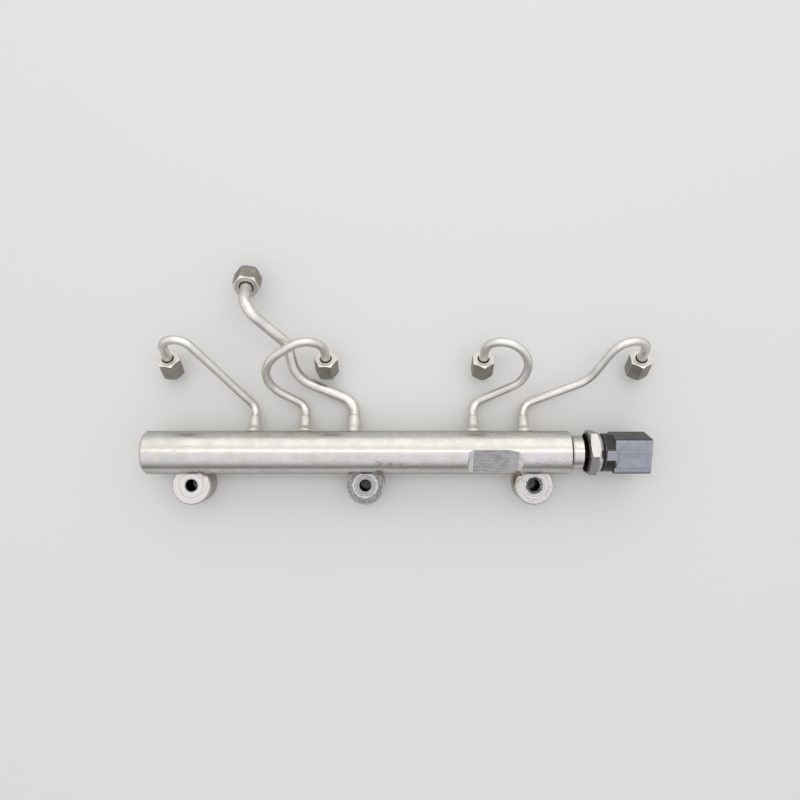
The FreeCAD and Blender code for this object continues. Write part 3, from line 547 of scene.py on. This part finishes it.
plated_edge = (0.84, 0.82, 0.79, 1.0)
ferrule_steel = steel(
    "ferrule_steel", colour=(0.80, 0.77, 0.72, 1.0), worn=plated_edge, roughness=0.48,
    depth=0.00007, grime=0.75, cloud=0.82)
ferrule_down = math.radians(30.0)
ferrule_turn = Matrix.Rotation(-math.pi / 2 - ferrule_down, 4, "X")
ferrule_length = 0.0106
above_foot = 0.020


def ferrule_ring(middle, radius, height):
    """A loop round a ferrule's axis, that far out from the tube's axis."""
    bpy.ops.object.select_all(action="DESELECT")
    bpy.ops.mesh.primitive_circle_add(vertices=64, radius=radius)
    on_axis = Matrix.Translation((middle, rail_axis.y, rail_axis.z))
    bpy.context.object.matrix_world = on_axis @ ferrule_turn @ Matrix.Translation((0.0, 0.0, height))


def ferrule_beads(names, foot_radius, mouth_radius):
    """The braze round the foot and the mouth of like ferrules, made at the first one."""
    middles = [(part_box(name)[0].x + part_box(name)[1].x) / 2 for name in names]
    steps = [(middle - middles[0], 0.0, 0.0) for middle in middles[1:]]
    ferrule_ring(middles[0], foot_radius, above_foot)
    press_on_tube(upwards=False)
    rounded_bead(thickness=0.0005)
    brazed(copies([f"braze_foot_{name}" for name in names], steps))
    ferrule_ring(middles[0], mouth_radius, rail_radius + ferrule_length)
    rounded_bead(thickness=0.0003)
    brazed(copies([f"braze_mouth_{name}" for name in names], steps))


ferrule_names = ["injector_ferrule_1", "injector_ferrule_2", "injector_ferrule_3", "injector_ferrule_4"]
for name in ferrule_names + ["feed_ferrule"]:
    finish_node(name, ferrule_steel)
ferrule_beads(ferrule_names, foot_radius=0.0049, mouth_radius=0.0027)
ferrule_beads(["feed_ferrule"], foot_radius=0.003875, mouth_radius=0.003375)

# Lines. Seamless steel tube, bent cold and plated; four thin ones to the injectors and a thicker
# one from the pump. Bright off-white satin, with faint marks of the bending tool.

line_steel = steel(
    "line_steel", colour=(0.80, 0.78, 0.74, 1.0), worn=plated_edge, roughness=0.30,
    depth=0.000028, scratches=0.25, grime=0.45, cloud=0.86)
for name in ("injector_line_1", "injector_line_2", "injector_line_3", "injector_line_4", "feed_line"):
    finish_node(name, line_steel)

# Ball nipples and union nuts. A nipple is brazed on each line's end, with a sleeve through the nut, a
# collar and a ball nose. The captive steel nut is crowned at both ends and tapped; its end face is
# pinkish white, its flats are duller, and the hole round the sleeve and the nipple inside the nut are
# painted black as shade.

nut_axes = {joint["child"]: (Vector(joint["pos_m"]), Vector(joint["axis"])) for joint in frame["joints"]}
recess_shade_black = (0.012, 0.011, 0.010, 1.0)
recess_shade_roughness = 0.65
nut_face_depth, nut_face_full = -0.0015, -0.0005
nut_bore_blur = 0.0002
nut_dark_start, nut_dark_full = -0.0001, -0.0006
nipple_dark_start, nipple_dark_full = 0.0004, -0.0008
nut_face_dull = (0.55, 0.51, 0.485, 1.0)
nut_face_bright = (0.72, 0.68, 0.655, 1.0)
nut_crown = (0.82, 0.79, 0.75, 1.0)
nut_used = (0.20, 0.185, 0.16, 1.0)


def along_and_out(tree, centre, axis):
    """How far a point lies up a nut's axis from its face, and how far out from the axis."""
    away = place_of(tree, centre=tuple(centre))
    along = vectors(tree, "DOT_PRODUCT", away, tuple(axis), "Value")
    lifted = add(tree, "VectorMath", operation="SCALE", Scale=along)
    feed(tree, lifted.inputs[0], tuple(axis))
    outward = vectors(tree, "SUBTRACT", away, lifted.outputs["Vector"])
    return along, vectors(tree, "LENGTH", outward, output="Value")


def nut_finish(name, bore_limit, nipple):
    """A nut's steel and its nipple's. bore_limit: a radius between the tapped bore and the flats."""
    centre, axis = nut_axes[name]

    def nut_paint(tree, base, rough):
        """The turned end face, the crowned corners, the duller flats and painted shade, black, in the
        bore.
        """
        along, out = along_and_out(tree, centre, axis)
        facing = vectors(tree, "DOT_PRODUCT", normal_of(tree), tuple(axis), "Value")
        upper = ramp(tree, along, nut_face_depth, nut_face_full)
        face = maths(tree, "MULTIPLY", ramp(tree, facing, 0.90, 0.97), upper)
        crown = band(tree, facing, 0.25, 0.88, 0.05)
        turned = grouped(tree, TURNED, Radius=out, Scale=2600.0)["Mask"]
        bright = tint(tree, ramp(tree, turned, 0.35, 0.65), nut_face_dull, nut_face_bright)
        base = tint(tree, face, base, bright)
        base = tint(tree, crown, base, nut_crown)
        used = ramp(tree, noise(tree, place_of(tree), 520.0, 5.0, 0.7), 0.42, 0.66, 0.0, 0.55)
        flats = ramp(tree, maths(tree, "ABSOLUTE", facing), 0.20, 0.10)
        base = tint(tree, maths(tree, "MULTIPLY", flats, used), base, nut_used)
        # Painted shade: the bore round the sleeve is painted black.
        inside = maths(tree, "MULTIPLY", ramp(tree, out, bore_limit + nut_bore_blur, bore_limit),
                       ramp(tree, along, nut_dark_start, nut_dark_full))
        return tint(tree, inside, base, recess_shade_black), blend(tree, inside, rough, recess_shade_roughness)

    def nipple_paint(tree, base, rough):
        """Painted shade: black from the nut's face down, inside the nut."""
        along, _ = along_and_out(tree, centre, axis)
        hidden = ramp(tree, along, nipple_dark_start, nipple_dark_full)
        return tint(tree, hidden, base, recess_shade_black), blend(tree, hidden, rough, recess_shade_roughness)

    finish_node(name, steel(
        name + "_steel", colour=(0.45, 0.43, 0.39, 1.0), worn=(0.82, 0.79, 0.76, 1.0), roughness=0.40,
        depth=0.00002, cloud=0.80, paint=nut_paint))
    finish_node(nipple, steel(
        nipple + "_steel", colour=(0.76, 0.72, 0.68, 1.0), worn=plated_edge, roughness=0.38,
        depth=0.00002, paint=nipple_paint))


def thread_ridge(nut, bore_radius, pitch, length, depth):
    """A thread's ridge, from that depth in the nut up: a small triangle screwed up the bore and closed."""
    centre, axis = nut_axes[nut]
    ridge_radius = pitch * 0.42
    start = (bore_radius + pitch * 0.1, 0.0, pitch * 0.5 - depth)
    bpy.ops.object.select_all(action="DESELECT")
    bpy.ops.mesh.primitive_circle_add(
        vertices=3, radius=ridge_radius, location=start, rotation=(math.pi / 2, math.pi / 2, 0.0))
    bpy.ops.object.transform_apply(location=True, rotation=True, scale=True)
    bpy.ops.object.modifier_add(type="SCREW")
    screw = bpy.context.object.modifiers[0]
    screw.angle = 2 * math.pi
    screw.screw_offset = pitch
    screw.iterations = int(length / pitch)
    screw.steps = screw.render_steps = 48
    bpy.ops.object.modifier_apply(modifier=screw.name)
    bpy.ops.object.mode_set(mode="EDIT")
    bpy.ops.mesh.select_all(action="SELECT")
    bpy.ops.mesh.fill_holes(sides=3)
    bpy.ops.mesh.normals_make_consistent(inside=False)
    bpy.ops.object.mode_set(mode="OBJECT")
    upright = Vector((0.0, 0.0, 1.0)).rotation_difference(axis).to_matrix().to_4x4()
    bpy.context.object.matrix_world = Matrix.Translation(centre) @ upright
    bpy.ops.object.transform_apply(location=True, rotation=True, scale=True)


def tapped(ridges, names):
    """Thread steel on the ridges, each of which turns with its nut."""
    for ridge, name in zip(ridges, names):
        ridge.data.materials.append(thread_steel)
        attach(ridge, name)


thread_steel = steel(
    "thread_steel", colour=(0.50, 0.47, 0.43, 1.0), worn=(0.66, 0.63, 0.60, 1.0), roughness=0.40)
nut_names = ["injector_nut_1", "injector_nut_2", "injector_nut_3", "injector_nut_4"]
for number, name in enumerate(nut_names, start=1):
    nut_finish(name, bore_limit=0.0054, nipple=f"injector_nipple_{number}")
nut_finish("feed_nut", bore_limit=0.0063, nipple="feed_nipple")
thread_ridge("injector_nut_1", bore_radius=0.00445, pitch=0.0010, length=0.0031, depth=0.0122)
nut_steps = [tuple(nut_axes[name][0] - nut_axes["injector_nut_1"][0]) for name in nut_names[1:]]
tapped(copies(["thread_1", "thread_2", "thread_3", "thread_4"], nut_steps), nut_names)
thread_ridge("feed_nut", bore_radius=0.0052, pitch=0.0015, length=0.0036, depth=0.0127)
tapped(copies(["feed_thread_ridge"], []), ["feed_nut"])

# Pressure sensor. A turned steel body with a hexagon and a ring crimped over the plastic, with painted
# shade, black, in the gap before the tube, and a moulded connector with three tinned blades.

gap_width = 0.0021
gap_blur = 0.0002
gap_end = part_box("rail_body")[1].x + gap_width


def sensor_paint(tree, base, rough):
    """Painted shade: black fills the gap between the port's mouth and the hexagon."""
    gap = ramp(tree, part_of(tree, place_of(tree), "X"), gap_end, gap_end - gap_blur)
    return tint(tree, gap, base, recess_shade_black), blend(tree, gap, rough, 0.7)


sensor_steel = steel(
    "sensor_steel", colour=(0.61, 0.59, 0.565, 1.0), worn=(0.78, 0.76, 0.73, 1.0), roughness=0.26,
    depth=0.000008, paint=sensor_paint)
finish_node("sensor_housing", sensor_steel)
box_start = 0.1422
box_start_blur = 0.0001
neck_radius = 0.0110
neck_blur_start, neck_blur_end = 0.0001, 0.0003
plastic_top_sheen = (0.31, 0.33, 0.385, 1.0)
plastic_top_dust_and_sheen = (0.44, 0.46, 0.53, 1.0)
plastic_side = (0.034, 0.035, 0.039, 1.0)
plastic_neck = (0.010, 0.010, 0.012, 1.0)
latch_top_sheen = (0.36, 0.375, 0.42, 1.0)
plastic_edge = (0.44, 0.455, 0.50, 1.0)


def connector_plastic():
    """Glass-filled nylon, near black: a box whose top is painted blue-grey as sheen with dust, a smooth
    black neck and a latch whose top is painted pale as sheen.
    """
    material = bpy.data.materials.new("connector_plastic")
    material.use_nodes = True
    tree = material.node_tree
    shader = tree.nodes["Principled BSDF"]
    grain = grouped(tree, GRAIN, Vector=place_of(tree), Scale=2600.0, Depth=0.00003)
    dust = noise(tree, place_of(tree), 240.0, 5.0, 0.7)
    place = place_of(tree, centre=tuple(rail_axis))
    out = vectors(tree, "LENGTH", vectors(tree, "MULTIPLY", place, (0.0, 1.0, 1.0)), output="Value")
    # Painted sheen: faces that look up are painted blue-grey, with dust mixed in; the other faces keep the
    # near-black plastic.
    top = ramp(tree, part_of(tree, normal_of(tree), "Z"), 0.75, 0.95)
    base = tint(tree, ramp(tree, dust, 0.35, 0.75), plastic_top_sheen, plastic_top_dust_and_sheen)
    base = tint(tree, top, plastic_side, base)
    before_box = ramp(tree, part_of(tree, place, "X"), box_start + box_start_blur,
                      box_start - box_start_blur)
    on_neck = ramp(tree, out, neck_radius + neck_blur_end, neck_radius + neck_blur_start)
    base = tint(tree, maths(tree, "MULTIPLY", before_box, on_neck), base, plastic_neck)
    past_neck = ramp(tree, out, neck_radius + neck_blur_start, neck_radius + neck_blur_end)
    # Painted sheen: the latch's upward faces are painted pale.
    latch = maths(tree, "MULTIPLY", maths(tree, "MULTIPLY", before_box, past_neck), top)
    base = tint(tree, latch, base, latch_top_sheen)
    base = tint(tree, grouped(tree, WEAR, Width=0.0005)["Mask"], base, plastic_edge)
    feed(tree, shader.inputs["Base Color"], base)
    feed(tree, shader.inputs["Roughness"], ramp(tree, dust, 0.3, 0.7, 0.36, 0.5))
    feed(tree, shader.inputs["Normal"], grain["Normal"])
    return material


finish_node("sensor_connector", connector_plastic())
terminal_metal = steel(
    "terminal_metal", colour=(0.72, 0.66, 0.52, 1.0), worn=(0.80, 0.76, 0.66, 1.0), roughness=0.28,
    depth=0.000006)
for number in (1, 2, 3):
    finish_node(f"sensor_terminal_{number}", terminal_metal)

# Bench and studio. A plain pale floor under the part, one long soft lamp over the lines' side and a
# wide one behind the lines. The sky is pale and warm there, and cooler and darker low on the bolts'
# side, so that the tube is shaded from one side to the other.


def floor_material():
    """Matt, pale and a little warm."""
    material = bpy.data.materials.new("pale_floor")
    material.use_nodes = True
    shader = material.node_tree.nodes["Principled BSDF"]
    shader.inputs["Base Color"].default_value = (0.80, 0.80, 0.79, 1.0)
    shader.inputs["Roughness"].default_value = 0.9
    shader.inputs["Specular IOR Level"].default_value = 0.2
    return material


floor_half = 10.0
bpy.ops.object.select_all(action="DESELECT")
bpy.ops.mesh.primitive_plane_add(size=2 * floor_half, location=(0.0, 0.0, cad_box[0][2]))
floor = bpy.context.object
floor.name = "floor"
floor.data.materials.append(floor_material())


def soft_lamp(name, place, aim, size, power):
    """A panel that looks at the object."""
    bpy.ops.object.light_add(type="AREA", location=place)
    lamp = bpy.context.object
    lamp.name = name
    lamp.data.shape = "RECTANGLE"
    lamp.data.size, lamp.data.size_y = size
    lamp.data.energy = power
    lamp.rotation_euler = (Vector(aim) - Vector(place)).to_track_quat("-Z", "Y").to_euler()


part_middle = (Vector(cad_box[0]) + Vector(cad_box[1])) / 2
soft_lamp("key_panel", place=(0.02, 0.23, 0.85), aim=part_middle, size=(0.9, 0.11), power=0.70)
soft_lamp("back_panel", place=(0.10, 0.85, 0.50), aim=part_middle, size=(1.2, 0.8), power=1.5)

world = bpy.data.worlds.new("studio_sky")
bpy.context.scene.world = world
world.use_nodes = True
tree = world.node_tree
towards = tree.nodes.new("ShaderNodeTexCoord").outputs["Generated"]
warm_side = ramp(tree, part_of(tree, towards, "Y"), -0.25, 0.35)
rise = ramp(tree, part_of(tree, towards, "Z"), 0.0, 0.9)
ends = ramp(tree, maths(tree, "ABSOLUTE", part_of(tree, towards, "X")), 0.55, 0.90)
cool_low, cool_high = (0.14, 0.14, 0.15, 1.0), (1.10, 1.10, 1.14, 1.0)
warm_low, warm_high = (0.92, 0.91, 0.87, 1.0), (1.16, 1.15, 1.12, 1.0)
end_sky = (1.02, 1.02, 1.00, 1.0)
backdrop = (0.67, 0.67, 0.66, 1.0)
cool_sky = tint(tree, rise, cool_low, cool_high)
warm_sky = tint(tree, rise, warm_low, warm_high)
path = tree.nodes.new("ShaderNodeLightPath").outputs
sky = tint(tree, ends, tint(tree, warm_side, cool_sky, warm_sky), end_sky)
sky = tint(tree, path["Is Camera Ray"], sky, backdrop)
seen = maths(tree, "MAXIMUM", maths(tree, "MAXIMUM", path["Is Camera Ray"], path["Is Glossy Ray"]),
             path["Is Transmission Ray"])
lit_strength, seen_strength = 0.78, 1.0
background = tree.nodes["Background"]
feed(tree, background.inputs["Color"], sky)
feed(tree, background.inputs["Strength"], ramp(tree, seen, 0.0, 1.0, lit_strength, seen_strength))

# Camera. It looks straight down on the part, as the photograph was taken. Its focal length is worked
# out from the photograph's width and focal length, both in pixels.

camera_place = (0.02027, 0.0499, 0.424)
photo_focal_pixels = 700.0
photo_pixels = 800.0
bpy.ops.object.camera_add(location=camera_place, rotation=(0.0, 0.0, 0.0))
camera = bpy.context.object
camera.data.sensor_width = 36.0
camera.data.lens = camera.data.sensor_width * photo_focal_pixels / photo_pixels
bpy.context.scene.camera = camera

scene = bpy.context.scene
scene.view_settings.view_transform = "Standard"
